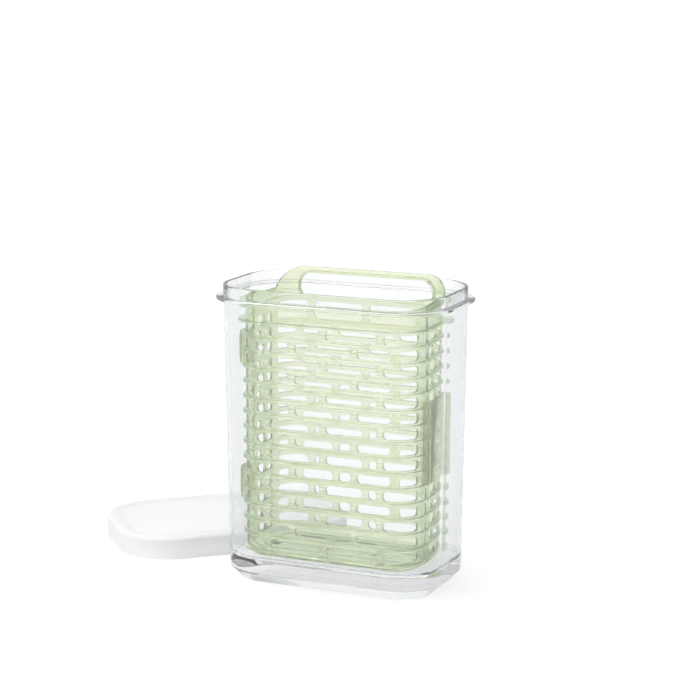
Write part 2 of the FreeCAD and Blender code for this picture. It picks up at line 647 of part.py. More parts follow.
os.makedirs("parts", exist_ok=True)
for piece in pieces:
    piece.Shape.exportStep("parts/%s.step" % piece.Label)
    print("%-14s %9.1f mm3  %s" % (piece.Label, piece.Shape.Volume, piece.Shape.BoundBox))
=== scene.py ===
import math

import bmesh
import bpy
from mathutils import Matrix, Vector


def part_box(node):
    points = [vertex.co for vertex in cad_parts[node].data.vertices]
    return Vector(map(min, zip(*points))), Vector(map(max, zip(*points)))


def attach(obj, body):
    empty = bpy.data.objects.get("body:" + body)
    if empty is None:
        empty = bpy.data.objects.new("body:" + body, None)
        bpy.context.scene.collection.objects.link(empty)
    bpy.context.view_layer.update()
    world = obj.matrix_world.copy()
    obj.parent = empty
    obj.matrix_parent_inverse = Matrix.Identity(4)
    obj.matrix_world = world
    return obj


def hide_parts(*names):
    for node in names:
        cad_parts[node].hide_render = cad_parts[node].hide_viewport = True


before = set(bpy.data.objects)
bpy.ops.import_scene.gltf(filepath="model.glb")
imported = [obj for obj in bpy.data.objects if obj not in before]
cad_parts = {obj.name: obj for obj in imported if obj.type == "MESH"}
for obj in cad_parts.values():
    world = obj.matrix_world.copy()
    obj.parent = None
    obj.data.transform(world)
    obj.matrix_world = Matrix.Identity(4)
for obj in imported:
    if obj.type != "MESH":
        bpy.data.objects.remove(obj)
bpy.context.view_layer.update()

MM = 0.001

# Camera, as fitted to the container's rim and base, the lid and the basket.
CAMERA_AZIMUTH = math.radians(23.87)
CAMERA_ELEVATION = math.radians(11.10)
CAMERA_LENS = 110.5
CAMERA_SENSOR = 36
CAMERA_CLIP = (0.05, 60)
CAMERA_DISTANCE = 1486.0 * MM
CAMERA_RIGHT = 1.2 * MM
CAMERA_UP = 159.3 * MM

# Container: forms that the frame's boxes don't give. Names in SOFT are radii of eased edges.
FLANGE_PROUD = 4.9 * MM
FLANGE_THICK = 2.0 * MM
FLANGE_DROP = 8.2 * MM
MOUTH_CORNER = 33.0 * MM
WALL = 2.4 * MM
WALL_DRAFT = 3.2 * MM
BASE_THICK = 17.0 * MM
FOOT_CUT = 8.0 * MM
FLOOR_CUT = 3.0 * MM
FLOOR_SOFT = 1.5 * MM
FOOT_SOFT = 1.5 * MM
FOOT_CUT_SOFT = 3.0 * MM
FLANGE_ROOT_SOFT = 0.5 * MM
FLANGE_SOFT = 0.8 * MM
RIM_SOFT = 0.9 * MM

# Lid, which lies turned on the table.
LID_OVERHANG = 0.75 * MM
LID_SKIN = 2.3 * MM
LID_CUT = 2.0 * MM
LID_CENTRE = Vector((-123.0 * MM, 61.8 * MM, 0))
LID_TURN = math.radians(42.9)
PLUG_GAP = 0.45 * MM
PLUG_WALL = 1.6 * MM
PLUG_DEPTH = 8.0 * MM
PLUG_SOFT = 0.5 * MM
PLUG_ROOT_SOFT = 0.4 * MM
LID_SOFT = 1.6 * MM
LID_RIM_SOFT = 0.6 * MM
LID_CEILING_SOFT = 0.8 * MM
RING_LINE = 8.0 * MM
RING_DEEP = 0.35 * MM
RING_SLOPE = 0.5 * MM
RING_FLAT = 0.8 * MM
RING_SOFT = 0.3 * MM
RING_MARGIN = 5.0 * MM

# How finely the container and lid are drawn, how much of a side an eased edge may take, and
# how far in their flat middles begin.
CAP_MARGIN = 3.0 * MM
CORNER_STEPS = 28
SOFT_STEPS = 4
SOFT_SHARE = 0.49
SHARP_TURN = math.radians(30)


# Camera

def make_camera():
    """A long lens at the photo's height, a little to the right of the front."""
    az, el = CAMERA_AZIMUTH, CAMERA_ELEVATION
    back = Vector((math.sin(az) * math.cos(el), -math.cos(az) * math.cos(el), math.sin(el)))
    right = Vector((math.cos(az), math.sin(az), 0))
    up = right.cross(-back)
    data = bpy.data.cameras.new("photo_camera")
    data.sensor_width = CAMERA_SENSOR
    data.lens = CAMERA_LENS
    data.clip_start, data.clip_end = CAMERA_CLIP
    camera = bpy.data.objects.new("photo_camera", data)
    camera.location = back * CAMERA_DISTANCE + right * CAMERA_RIGHT + up * CAMERA_UP
    camera.rotation_euler = (-back).to_track_quat("-Z", "Y").to_euler()
    bpy.context.scene.collection.objects.link(camera)
    bpy.context.scene.camera = camera


# Mesh helpers

def outline(half_x, half_y, corner, level):
    """A rounded rectangle at one level, anticlockwise from above."""
    points = []
    for turn, (sx, sy) in enumerate(((1, 1), (-1, 1), (-1, -1), (1, -1))):
        cx = sx * (half_x - corner)
        cy = sy * (half_y - corner)
        for step in range(CORNER_STEPS + 1):
            angle = math.pi / 2 * (turn + step / CORNER_STEPS)
            x = cx + corner * math.cos(angle)
            y = cy + corner * math.sin(angle)
            points.append(Vector((x, y, level)))
    return points


def eased(profile):
    """Round the corners of a profile of (offset, level, radius) points; gives (offset, level)."""
    path = []
    for index, (x, z, radius) in enumerate(profile):
        here = Vector((x, z))
        if radius == 0 or index in (0, len(profile) - 1):
            path.append(here)
            continue
        before = Vector(profile[index - 1][:2]) - here
        after = Vector(profile[index + 1][:2]) - here
        half = before.angle(after) / 2
        reach = min(radius / math.tan(half), before.length * SOFT_SHARE,
                    after.length * SOFT_SHARE)
        start = here + before.normalized() * reach
        end = here + after.normalized() * reach
        for step in range(SOFT_STEPS + 1):
            t = step / SOFT_STEPS
            path.append(start * (1 - t) ** 2 + here * 2 * t * (1 - t) + end * t ** 2)
    return path


def loft(name, half_x, half_y, corner, profile):
    """A closed solid swept round a rounded rectangle, capped flat at both ends of the profile."""
    rings = [outline(half_x + x, half_y + x, corner + x, z) for x, z in eased(profile)]
    count = len(rings[0])
    points = [point for ring in rings for point in ring]
    faces = [list(range(count))[::-1]]
    for level in range(len(rings) - 1):
        low = level * count
        for side in range(count):
            after = (side + 1) % count
            faces.append([low + side, low + after, low + count + after, low + count + side])
    faces.append([(len(rings) - 1) * count + side for side in range(count)])
    mesh = bpy.data.meshes.new(name)
    mesh.from_pydata(points, [], faces)
    mesh.validate()
    mesh.shade_smooth()
    mesh.set_sharp_from_angle(angle=SHARP_TURN)
    piece = bpy.data.objects.new(name, mesh)
    bpy.context.scene.collection.objects.link(piece)
    return piece


# Container and lid

def mouth_size():
    """Half sizes of the container's mouth and its height, from the frame."""
    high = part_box("container")[1]
    return high.x - FLANGE_PROUD, high.y - FLANGE_PROUD, high.z


def make_container(material):
    """The clear container: outside wall and ring, rim, inside wall and the thick base's floor."""
    half_x, half_y, top = mouth_size()

    def draft(level):
        return -WALL_DRAFT * (1 - level / top)

    flange_top = top - FLANGE_DROP
    flange_low = flange_top - FLANGE_THICK
    foot = draft(0) - FOOT_CUT
    floor_edge = BASE_THICK + FLOOR_CUT
    floor = draft(BASE_THICK) - WALL - FLOOR_CUT
    profile = [
        (foot - CAP_MARGIN, 0, 0),
        (foot, 0, FOOT_SOFT),
        (draft(FOOT_CUT), FOOT_CUT, FOOT_CUT_SOFT),
        (draft(flange_low), flange_low, FLANGE_ROOT_SOFT),
        (FLANGE_PROUD, flange_low, FLANGE_SOFT),
        (FLANGE_PROUD, flange_top, FLANGE_SOFT),
        (draft(flange_top), flange_top, FLANGE_ROOT_SOFT),
        (draft(top), top, RIM_SOFT),
        (draft(top) - WALL, top, RIM_SOFT),
        (draft(floor_edge) - WALL, floor_edge, FLOOR_SOFT),
        (floor, BASE_THICK, FLOOR_SOFT),
        (floor - CAP_MARGIN, BASE_THICK, 0),
    ]
    piece = loft("container_shell", half_x, half_y, MOUTH_CORNER, profile)
    piece.data.materials.append(material)
    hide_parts("container")
    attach(piece, "keeper")


def make_lid(material):
    """The milky cap: its plug ring below, and a shallow ring line round its top."""
    half_x, half_y = mouth_size()[:2]
    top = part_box("lid")[1].z
    edge = FLANGE_PROUD + LID_OVERHANG
    inside = edge - LID_SKIN
    ceiling = top - LID_SKIN
    plug = -WALL - PLUG_GAP
    plug_inside = plug - PLUG_WALL
    plug_end = ceiling - PLUG_DEPTH
    ring = edge - RING_LINE
    ring_far = ring - RING_SLOPE - RING_FLAT
    profile = [
        (plug_inside - CAP_MARGIN, ceiling, 0),
        (plug_inside, ceiling, PLUG_ROOT_SOFT),
        (plug_inside, plug_end, PLUG_SOFT),
        (plug, plug_end, PLUG_SOFT),
        (plug, ceiling, PLUG_ROOT_SOFT),
        (inside, ceiling, LID_CEILING_SOFT),
        (inside, 0, LID_RIM_SOFT),
        (edge, 0, LID_RIM_SOFT),
        (edge, top - LID_CUT, LID_SOFT),
        (edge - LID_CUT, top, LID_SOFT),
        (ring, top, RING_SOFT),
        (ring - RING_SLOPE, top - RING_DEEP, RING_SOFT),
        (ring_far, top - RING_DEEP, RING_SOFT),
        (ring_far - RING_SLOPE, top, RING_SOFT),
        (ring - RING_MARGIN, top, 0),
    ]
    piece = loft("lid_cap", half_x, half_y, MOUTH_CORNER, profile)
    piece.data.transform(Matrix.Translation(LID_CENTRE) @ Matrix.Rotation(LID_TURN, 4, "Z"))
    piece.data.materials.append(material)
    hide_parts("lid")
    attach(piece, "keeper")


# Basket. Its wall is drawn flat, along the outline and up, with s along, v up and n out from
# the middle of the sheet, all in millimetres. It is then bent round the corners and the foot.

# Sheet and foot
HALF_WIDE = 65.1
HALF_DEEP = 37.2
BASKET_CORNER = 20.0
SHEET = 1.6
EDGE_SOFT = 0.3
DOOR_SEAM = 14.0
BODY_SEAM = 13.7
FOOT_ROUND = 8.0
FOOT_TUCK = 2.0

# Ribs and the two wider collars over them
RIB_PITCH = 10.6
RIB_PROUD = 2.0
RIB_THICK = 1.6
RIB_TIP = 1.3
COLLAR_COUNT = 2
COLLAR_DROP = 3.0
COLLAR_PROUD = 4.7

# Windows, in rows that begin half a pitch below the lower collar
ROW_COUNT = 15
FIRST_ROW = 1.5
WINDOW_TALL = 6.8
WINDOW_ROUND = 2.6
WINDOW_STEPS = 5
WEB = 5.0
WEB_MIDS = (0.0, 41.8)
WEB_SIDES = (22.9, 51.1)
FRONT_REACH = 63.0
SIDE_REACH = (16.6, -6.7)
SIDE_WEBS = (7.5, 1.5)
LOW_SLOT = (19.6, 22.0)
LOW_SLOT_ROUND = 1.1
LOW_SLOT_STEPS = 3

# Handle
HANDLE_FLAT = 47.0
HANDLE_END = 63.3
HANDLE_STEPS = 16
HOLE_WIDE = 100.0
HOLE_TALL = 18.7
HOLE_ROUND = 8.5
HOLE_MARGIN = 4.5
HOLE_STEPS = 10
BEAD_WIDE = 1.8
BEAD_PROUD = 1.0
# The bead's long sides, which are over this length, bend with the wall in so many parts.
BEAD_SIDE = 20.0
BEAD_PARTS = 40
# Share of the bead's width, and how far its surface lies under its top there.
BEAD_SECTION = ((0.0, 0.5), (0.2, 0.1), (0.45, 0.0), (0.55, 0.0), (0.8, 0.1), (1.0, 0.5))

# Floor
FLOOR_SLOT = (30.0, 5.0)
FLOOR_SLOT_ROUND = 2.4
FLOOR_SLOT_STEP = 38.0
BODY_SLOT_ROWS = (-4.0, 8.0, 20.0)
DOOR_SLOT_ROWS = (-22.0,)
FLOOR_CORNER_STEPS = 8

# Hinge and latch
HINGE_EARS = ((149.3, 172.6), (53.9, 77.2))
EAR_X = (-71.3, -64.3)
EAR_REACH = 5.2
EAR_SOFT = 0.7
STRAP_X = (-72.6, -71.1)
STRAP_Y = (-17.9, -9.8)
STRAP_INSET = 3.15
STRAP_SOFT = 0.4
LATCH_Z = (76.8, 133.9)
LATCH_FOOT_X = (64.3, 69.2)
LATCH_PLATE_X = (67.4, 69.2)
LATCH_Y = (-18.5, 18.0)
LATCH_SOFT = 0.6
BLOCK_STEPS = 3

# How finely the sheet bends, and how near two points count as one
CORNER_TURNS = 12
FOOT_TURNS = 6
WELD = 0.002
NEAR = 0.01
CUT_NEAR = 0.0005
BASKET_SHARP_TURN = math.radians(46)
ALONG = Vector((1, 0, 0))
UP = Vector((0, 1, 0))

MID_CORNER = BASKET_CORNER - SHEET / 2
FLAT_X = HALF_WIDE - BASKET_CORNER
FLAT_Y = HALF_DEEP - BASKET_CORNER
CORNER_RUN = MID_CORNER * math.pi / 2
MID_FOOT = FOOT_ROUND - SHEET / 2
FOOT_RUN = MID_FOOT * math.pi / 2


def basket_levels():
    """The basket's foot, rim and crest in millimetres, from the frame."""
    low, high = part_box("basket_door")
    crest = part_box("basket_body")[1].z
    return low.z / MM, high.z / MM, crest / MM


def along(x):
    """Length along the wall from its middle to the place with this X."""
    if abs(x) <= FLAT_X:
        return x
    share = min(1.0, (abs(x) - FLAT_X) / MID_CORNER)
    return math.copysign(FLAT_X + MID_CORNER * math.asin(share), x)


def along_side(y):
    """Length along the wall to a place on its side, with Y counted towards the wall."""
    return FLAT_X + CORNER_RUN + FLAT_Y - y


def bend(s, v, n, facing, foot_top):
    """Where a point of the flat sheet lies on the basket, in metres."""
    inset, rise, tilt = 0.0, v, 0.0
    if v < foot_top:
        drop = foot_top - v
        tilt = min(drop / MID_FOOT, math.pi / 2)
        inset = MID_FOOT * (1 - math.cos(tilt)) + max(0.0, drop - FOOT_RUN)
        rise = foot_top - (MID_FOOT + n) * math.sin(tilt)
    out = n * math.cos(tilt) - inset
    run = abs(s)
    if run <= FLAT_X:
        x, y = run, FLAT_Y + MID_CORNER + out
    elif run <= FLAT_X + CORNER_RUN:
        turn = (run - FLAT_X) / MID_CORNER
        x = FLAT_X + (MID_CORNER + out) * math.sin(turn)
        y = FLAT_Y + (MID_CORNER + out) * math.cos(turn)
    else:
        x, y = FLAT_X + MID_CORNER + out, FLAT_Y - (run - FLAT_X - CORNER_RUN)
    x = math.copysign(x, s)
    return Vector((-facing * x, facing * y, rise)) * MM


def rounded(s0, s1, v0, v1, radius, steps=WINDOW_STEPS):
    """The outline of a round-cornered window on the flat sheet."""
    radius = min(radius, (s1 - s0) / 2 - NEAR, (v1 - v0) / 2 - NEAR)
    points = []
    centres = ((s1 - radius, v1 - radius), (s0 + radius, v1 - radius),
               (s0 + radius, v0 + radius), (s1 - radius, v0 + radius))
    for turn, (s, v) in enumerate(centres):
        for step in range(steps + 1):
            angle = math.pi / 2 * (turn + step / steps)
            points.append((s + radius * math.cos(angle), v + radius * math.sin(angle)))
    return points


def mirrored(spans):
    """The spans and their mirror images about the wall's middle."""
    return spans + [(-high, -low) for low, high in spans]


def wall_spans(row):
    """Where the windows in one row of the front or back wall begin and end."""
    inner, outer = WEB_MIDS if row % 2 == 0 else WEB_SIDES
    spans = mirrored([(inner + WEB / 2, outer - WEB / 2), (outer + WEB / 2, FRONT_REACH)])
    if row % 2:
        spans.append((WEB / 2 - inner, inner - WEB / 2))
    return [(along(low), along(high)) for low, high in spans]


def side_spans(row):
    """The same on the two sides of the back half, which reach forward to the seam."""
    back, front = SIDE_REACH
    web = SIDE_WEBS[row % 2]
    pairs = [(back, web + WEB / 2), (web - WEB / 2, front)]
    return mirrored([(along_side(low), along_side(high)) for low, high in pairs])


def crest_edge(rim, crest):
    """The handle's edge over the rim: an arc up, a flat top and an arc down."""
    rise = crest - rim
    sweep = HANDLE_END - HANDLE_FLAT
    radius = (sweep ** 2 + rise ** 2) / (2 * rise)
    last = math.asin(sweep / radius)
    half = []
    for step in range(HANDLE_STEPS + 1):
        angle = last * (1 - step / HANDLE_STEPS)
        x = HANDLE_FLAT + radius * math.sin(angle)
        half.append((along(x), crest - radius + radius * math.cos(angle)))
    return half + [(-s, v) for s, v in reversed(half)]


def flat_sheet(edge, holes):
    """A plate with holes and soft edges, drawn flat in millimetres."""
    curve = bpy.data.curves.new("sheet", "CURVE")
    curve.dimensions = "2D"
    curve.fill_mode = "BOTH"
    curve.extrude = SHEET / 2 - EDGE_SOFT
    curve.bevel_depth = EDGE_SOFT
    curve.bevel_resolution = 1
    curve.offset = -EDGE_SOFT
    for points in [edge] + holes:
        spline = curve.splines.new("POLY")
        spline.points.add(len(points) - 1)
        for spot, (s, v) in zip(spline.points, points):
            spot.co = (s, v, 0, 1)
        spline.use_cyclic_u = True
    drawn = bpy.data.objects.new("sheet", curve)
    bpy.context.scene.collection.objects.link(drawn)
    deps = bpy.context.evaluated_depsgraph_get()
    mesh = bpy.data.meshes.new_from_object(drawn.evaluated_get(deps))
    work = bmesh.new()
    work.from_mesh(mesh)
    bpy.data.objects.remove(drawn)
    bpy.data.curves.remove(curve)
    bpy.data.meshes.remove(mesh)
    bmesh.ops.remove_doubles(work, verts=work.verts, dist=WELD)
    return work


def slice_sheet(work, places, normal):
    """Divide the sheet along straight lines, where it will bend or step."""
    for place in places:
        bmesh.ops.bisect_plane(work, geom=work.verts[:] + work.edges[:] + work.faces[:],
                               dist=CUT_NEAR, plane_co=normal * place, plane_no=normal)


def add_block(work, x, y, z, soft):
    """A small block with soft edges, for an ear, a strap or a latch; sizes in millimetres."""
    size = [high - low for low, high in (x, y, z)]
    middle = Vector([(low + high) / 2 for low, high in (x, y, z)])
    place = Matrix.Translation(middle * MM) @ Matrix.Diagonal([side * MM for side in size] + [1])
    made = bmesh.ops.create_cube(work, size=1, matrix=place)["verts"]
    edges = list({edge for vert in made for edge in vert.link_edges})
    bmesh.ops.bevel(work, geom=edges, offset=soft * MM, segments=BLOCK_STEPS,
                    affect="EDGES", profile=0.5)


def add_mesh(work, other):
    """Move one piece of work into another."""
    mesh = bpy.data.meshes.new("part")
    other.to_mesh(mesh)
    other.free()
    work.from_mesh(mesh)
    bpy.data.meshes.remove(mesh)


def add_floor(work, half, low):
    """One half's floor plate with its slots, from the seam to the turned-in foot."""
    inset = MID_FOOT + FOOT_TUCK
    wide = FLAT_X + MID_CORNER - inset
    deep = FLAT_Y + MID_CORNER - inset
    radius = MID_CORNER - inset
    corner = []
    for step in range(FLOOR_CORNER_STEPS + 1):
        angle = math.pi / 2 * step / FLOOR_CORNER_STEPS
        corner.append((wide - radius + radius * math.cos(angle),
                       deep - radius + radius * math.sin(angle)))
    if half == "body":
        seam, rows, side = -BODY_SEAM, BODY_SLOT_ROWS, 1
    else:
        seam, rows, side = DOOR_SEAM, [-row for row in DOOR_SLOT_ROWS], -1
    edge = [(wide, seam)] + corner + [(-x, y) for x, y in reversed(corner)] + [(-wide, seam)]
    half_long, half_tall = FLOOR_SLOT[0] / 2, FLOOR_SLOT[1] / 2
    holes = [rounded(x - half_long, x + half_long, y - half_tall, y + half_tall, FLOOR_SLOT_ROUND)
             for x in (-FLOOR_SLOT_STEP, 0, FLOOR_SLOT_STEP) for y in rows]
    plate = flat_sheet(edge, holes)
    for vert in plate.verts:
        x, y, n = vert.co
        vert.co = Vector((x * side, y * side, low + SHEET / 2 + n)) * MM
    add_mesh(work, plate)


def hole_middle(crest):
    """The level of the hand hole's middle."""
    return crest - HOLE_MARGIN - HOLE_TALL / 2


def hole_outline(middle, wider, on_wall):
    """The hand hole's outline, grown all round, in X or in length along the wall."""
    wide = HOLE_WIDE / 2 + wider
    if on_wall:
        wide = along(wide)
    tall = HOLE_TALL / 2 + wider
    return rounded(-wide, wide, middle - tall, middle + tall, HOLE_ROUND + wider, HOLE_STEPS)


def add_bead(work, middle, foot_top):
    """The raised bead round the hand hole, on both faces of the handle."""
    high = SHEET / 2 + BEAD_PROUD
    section = [(share, drop - high) for share, drop in BEAD_SECTION]
    section += [(share, -n) for share, n in reversed(section)]
    rings = []
    for share, n in section:
        loop = hole_outline(middle, share * BEAD_WIDE, on_wall=False)
        ring = []
        for (x, v), (next_x, next_v) in zip(loop, loop[1:] + loop[:1]):
            parts = BEAD_PARTS if abs(next_x - x) > BEAD_SIDE else 1
            for part in range(parts):
                step = part / parts
                there = (along(x + (next_x - x) * step), v + (next_v - v) * step)
                ring.append(work.verts.new(bend(*there, n, 1, foot_top)))
        rings.append(ring)
    for ring, after in zip(rings, rings[1:] + rings[:1]):
        for spot in range(len(ring)):
            near = (spot + 1) % len(ring)
            work.faces.new((ring[spot], ring[near], after[near], after[spot]))


def wall_windows(half, first):
    """The outlines of one half's windows, down from the first row's middle."""
    windows = []
    for row in range(ROW_COUNT):
        low = first - row * RIB_PITCH - WINDOW_TALL / 2
        spans = wall_spans(row)
        if half == "body":
            spans += side_spans(row)
        windows += [rounded(s0, s1, low, low + WINDOW_TALL, WINDOW_ROUND) for s0, s1 in spans]
    return windows


def low_slots():
    """The row of low slots in the band at the foot of the door."""
    reach = along(WEB_SIDES[1])
    return [rounded(max(s0, -reach), min(s1, reach), *LOW_SLOT, LOW_SLOT_ROUND, LOW_SLOT_STEPS)
            for s0, s1 in wall_spans(0)]


def make_wall(half):
    """One half's slotted wall with its ribs and collars, bent to shape."""
    low, rim, crest = basket_levels()
    foot_top = low + FOOT_ROUND
    bottom = foot_top - FOOT_RUN - FOOT_TUCK
    collar = rim - COLLAR_DROP
    holes = wall_windows(half, collar - FIRST_ROW * RIB_PITCH)
    if half == "body":
        facing, end, handle = 1, along_side(-BODY_SEAM), crest_edge(rim, crest)
        holes.append(hole_outline(hole_middle(crest), BEAD_WIDE / 2, on_wall=True))
    else:
        facing, end, handle = -1, along_side(DOOR_SEAM), []
        holes += low_slots()
    work = flat_sheet([(-end, bottom), (end, bottom), (end, rim)] + handle + [(-end, rim)], holes)
    ribs = [(collar - number * RIB_PITCH, COLLAR_PROUD if number < COLLAR_COUNT else RIB_PROUD)
            for number in range(ROW_COUNT + COLLAR_COUNT)]
    sides = (-RIB_THICK / 2, -RIB_TIP / 2, RIB_TIP / 2, RIB_THICK / 2)
    slice_sheet(work, [level + side for level, _ in ribs for side in sides], UP)
    slice_sheet(work, [foot_top - FOOT_RUN * step / FOOT_TURNS
                       for step in range(FOOT_TURNS + 1)], UP)
    turns = [FLAT_X + CORNER_RUN * step / CORNER_TURNS for step in range(CORNER_TURNS + 1)]
    slice_sheet(work, turns + [-turn for turn in turns], ALONG)
    for vert in work.verts:
        s, v, n = vert.co
        if n > SHEET / 2 - NEAR:
            n += sum(proud for level, proud in ribs if abs(v - level) < RIB_TIP / 2 + NEAR)
        vert.co = bend(s, v, n, facing, foot_top)
    return work


def place_basket_piece(name, work, material, node=None):
    """Turn the work into a piece that rides with the basket, in place of a node or beside it."""
    bmesh.ops.recalc_face_normals(work, faces=work.faces)
    mesh = bpy.data.meshes.new(name)
    work.to_mesh(mesh)
    work.free()
    mesh.shade_smooth()
    mesh.set_sharp_from_angle(angle=BASKET_SHARP_TURN)
    mesh.materials.append(material)
    piece = bpy.data.objects.new(name, mesh)
    bpy.context.scene.collection.objects.link(piece)
    if node:
        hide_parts(node)
    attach(piece, "basket")


def make_basket(thin_plastic, thick_plastic):
    """The back half with the handle, and the front half that opens as a door."""
    low, _, crest = basket_levels()
    for half in ("body", "door"):
        work = make_wall(half)
        add_floor(work, half, low)
        if half == "body":
            add_bead(work, hole_middle(crest), low + FOOT_ROUND)
        place_basket_piece("basket_" + half + "_moulding", work, thin_plastic, "basket_" + half)
    make_hinge_and_latch(thick_plastic)


def make_hinge_and_latch(material):
    """Two pairs of ears with their straps on the left, and the latch plate on the right."""
    body_ear = (-BODY_SEAM, EAR_REACH - BODY_SEAM)
    door_ear = (-DOOR_SEAM - EAR_REACH, -DOOR_SEAM)
    ears = bmesh.new()
    straps = bmesh.new()
    latch = bmesh.new()
    for low, high in HINGE_EARS:
        add_block(ears, EAR_X, body_ear, (low, high), EAR_SOFT)
        add_block(ears, EAR_X, door_ear, (low, high), EAR_SOFT)
        add_block(straps, STRAP_X, STRAP_Y, (low + STRAP_INSET, high - STRAP_INSET), STRAP_SOFT)
    add_block(latch, LATCH_FOOT_X, (LATCH_Y[0], -DOOR_SEAM), LATCH_Z, LATCH_SOFT)
    add_block(latch, LATCH_PLATE_X, LATCH_Y, LATCH_Z, LATCH_SOFT)
    place_basket_piece("hinge_ears", ears, material)
    place_basket_piece("hinge_straps", straps, material)
    place_basket_piece("latch_plate", latch, material)


# Materials

# The range that most of the moulding marks fall in.
MARKS_LOW = 0.3
MARKS_HIGH = 0.7

# Plain parts of the basket are thin; the hinge and latch are thick and bend light less.
THIN_BENDING = 1.45
THICK_BENDING = 1.2
THIN_EDGE_GREEN = (0.36, 0.64, 0.28)
THICK_EDGE_GREEN = (0.76, 0.86, 0.66)


def new_material(name):
    """An empty node material with one shader; gives the material, its tree, shader and output."""
    material = bpy.data.materials.new(name)
    material.use_nodes = True
    tree = material.node_tree
    tree.nodes.clear()
    out = tree.nodes.new("ShaderNodeOutputMaterial")
    shader = tree.nodes.new("ShaderNodeBsdfPrincipled")
    tree.links.new(shader.outputs["BSDF"], out.inputs["Surface"])
    return material, tree, shader, out


def moulding_group():
    """Flow marks and faint waviness of moulded plastic: a mask from 0 to 1, and a height."""
    group = bpy.data.node_groups.new("moulding_marks", "ShaderNodeTree")
    face = group.interface
    for label, default in (("Cloud Size", 40.0), ("Grain Size", 900.0), ("Grain", 0.2)):
        socket = face.new_socket(name=label, in_out="INPUT", socket_type="NodeSocketFloat")
        socket.default_value = default
    face.new_socket(name="Mask", in_out="OUTPUT", socket_type="NodeSocketFloat")
    face.new_socket(name="Height", in_out="OUTPUT", socket_type="NodeSocketFloat")
    nodes, links = group.nodes, group.links
    into = nodes.new("NodeGroupInput")
    out = nodes.new("NodeGroupOutput")
    place = nodes.new("ShaderNodeTexCoord")
    cloud = nodes.new("ShaderNodeTexNoise")
    cloud.inputs["Detail"].default_value = 3
    grain = nodes.new("ShaderNodeTexNoise")
    grain.inputs["Detail"].default_value = 2
    mix = nodes.new("ShaderNodeMix")
    links.new(place.outputs["Object"], cloud.inputs["Vector"])
    links.new(place.outputs["Object"], grain.inputs["Vector"])
    links.new(into.outputs["Cloud Size"], cloud.inputs["Scale"])
    links.new(into.outputs["Grain Size"], grain.inputs["Scale"])
    links.new(into.outputs["Grain"], mix.inputs["Factor"])
    links.new(cloud.outputs["Fac"], mix.inputs["A"])
    links.new(grain.outputs["Fac"], mix.inputs["B"])
    links.new(cloud.outputs["Fac"], out.inputs["Mask"])
    links.new(mix.outputs["Result"], out.inputs["Height"])
    return group


def add_marks(tree, shader, group, cloud, grain, share, rough, bump):
    """Place the moulding marks in a material: roughness range and bump strength and depth."""
    marks = tree.nodes.new("ShaderNodeGroup")
    marks.node_tree = group
    marks.inputs["Cloud Size"].default_value = cloud
    marks.inputs["Grain Size"].default_value = grain
    marks.inputs["Grain"].default_value = share
    spread = tree.nodes.new("ShaderNodeMapRange")
    spread.inputs["From Min"].default_value = MARKS_LOW
    spread.inputs["From Max"].default_value = MARKS_HIGH
    spread.inputs["To Min"].default_value = rough[0]
    spread.inputs["To Max"].default_value = rough[1]
    tree.links.new(marks.outputs["Mask"], spread.inputs["Value"])
    tree.links.new(spread.outputs["Result"], shader.inputs["Roughness"])
    ripple = tree.nodes.new("ShaderNodeBump")
    ripple.inputs["Strength"].default_value = bump[0]
    ripple.inputs["Distance"].default_value = bump[1]
    tree.links.new(marks.outputs["Height"], ripple.inputs["Height"])
    tree.links.new(ripple.outputs["Normal"], shader.inputs["Normal"])
    return marks


def tint_by_mask(tree, shader, marks, low, high):
    """Base colour that drifts between two close colours with the marks."""
    mix = tree.nodes.new("ShaderNodeMix")
    mix.data_type = "RGBA"
    mix.inputs["A"].default_value = (*low, 1)
    mix.inputs["B"].default_value = (*high, 1)
    tree.links.new(marks.outputs["Mask"], mix.inputs["Factor"])
    tree.links.new(mix.outputs["Result"], shader.inputs["Base Color"])
    return mix


def tint_edge_on(tree, shader, face_on, colour, blend):
    """Deepen the base colour towards surfaces that are seen edge-on."""
    edge = tree.nodes.new("ShaderNodeLayerWeight")
    edge.inputs["Blend"].default_value = blend
    mix = tree.nodes.new("ShaderNodeMix")
    mix.data_type = "RGBA"
    mix.inputs["B"].default_value = (*colour, 1)
    tree.links.new(edge.outputs["Facing"], mix.inputs["Factor"])
    tree.links.new(face_on.outputs["Result"], mix.inputs["A"])
    tree.links.new(mix.outputs["Result"], shader.inputs["Base Color"])


def let_light_through(tree, shader, out, share):
    """Shadow rays pass a clear piece, so that its shadow is pale."""
    path = tree.nodes.new("ShaderNodeLightPath")
    scale = tree.nodes.new("ShaderNodeMath")
    scale.operation = "MULTIPLY"
    scale.inputs[1].default_value = share
    open_air = tree.nodes.new("ShaderNodeBsdfTransparent")
    mix = tree.nodes.new("ShaderNodeMixShader")
    tree.links.new(path.outputs["Is Shadow Ray"], scale.inputs[0])
    tree.links.new(scale.outputs["Value"], mix.inputs["Fac"])
    tree.links.new(shader.outputs["BSDF"], mix.inputs[1])
    tree.links.new(open_air.outputs["BSDF"], mix.inputs[2])
    tree.links.new(mix.outputs["Shader"], out.inputs["Surface"])


def clear_plastic(group):
    """Water-clear; painted shade and reflection: a cool grey base colour where the wall is seen
    along its length, standing in for the darker surroundings the wall reflects and bends edge-on.
    """
    material, tree, shader, out = new_material("clear_plastic")
    shader.inputs["Transmission Weight"].default_value = 0.96
    shader.inputs["IOR"].default_value = 1.38
    marks = add_marks(tree, shader, group, cloud=22.0, grain=500.0, share=0.05,
                      rough=(0.0, 0.03), bump=(0.01, 0.4 * MM))
    face_on = tint_by_mask(tree, shader, marks, (0.975, 0.98, 0.985), (0.985, 0.988, 0.99))
    # Painted shade and reflection: grey base colour at grazing view stands in for dark
    # surroundings seen in the clear wall edge-on; the plastic itself has no grey.
    tint_edge_on(tree, shader, face_on, colour=(0.58, 0.62, 0.66), blend=0.14)
    let_light_through(tree, shader, out, share=0.95)
    return material


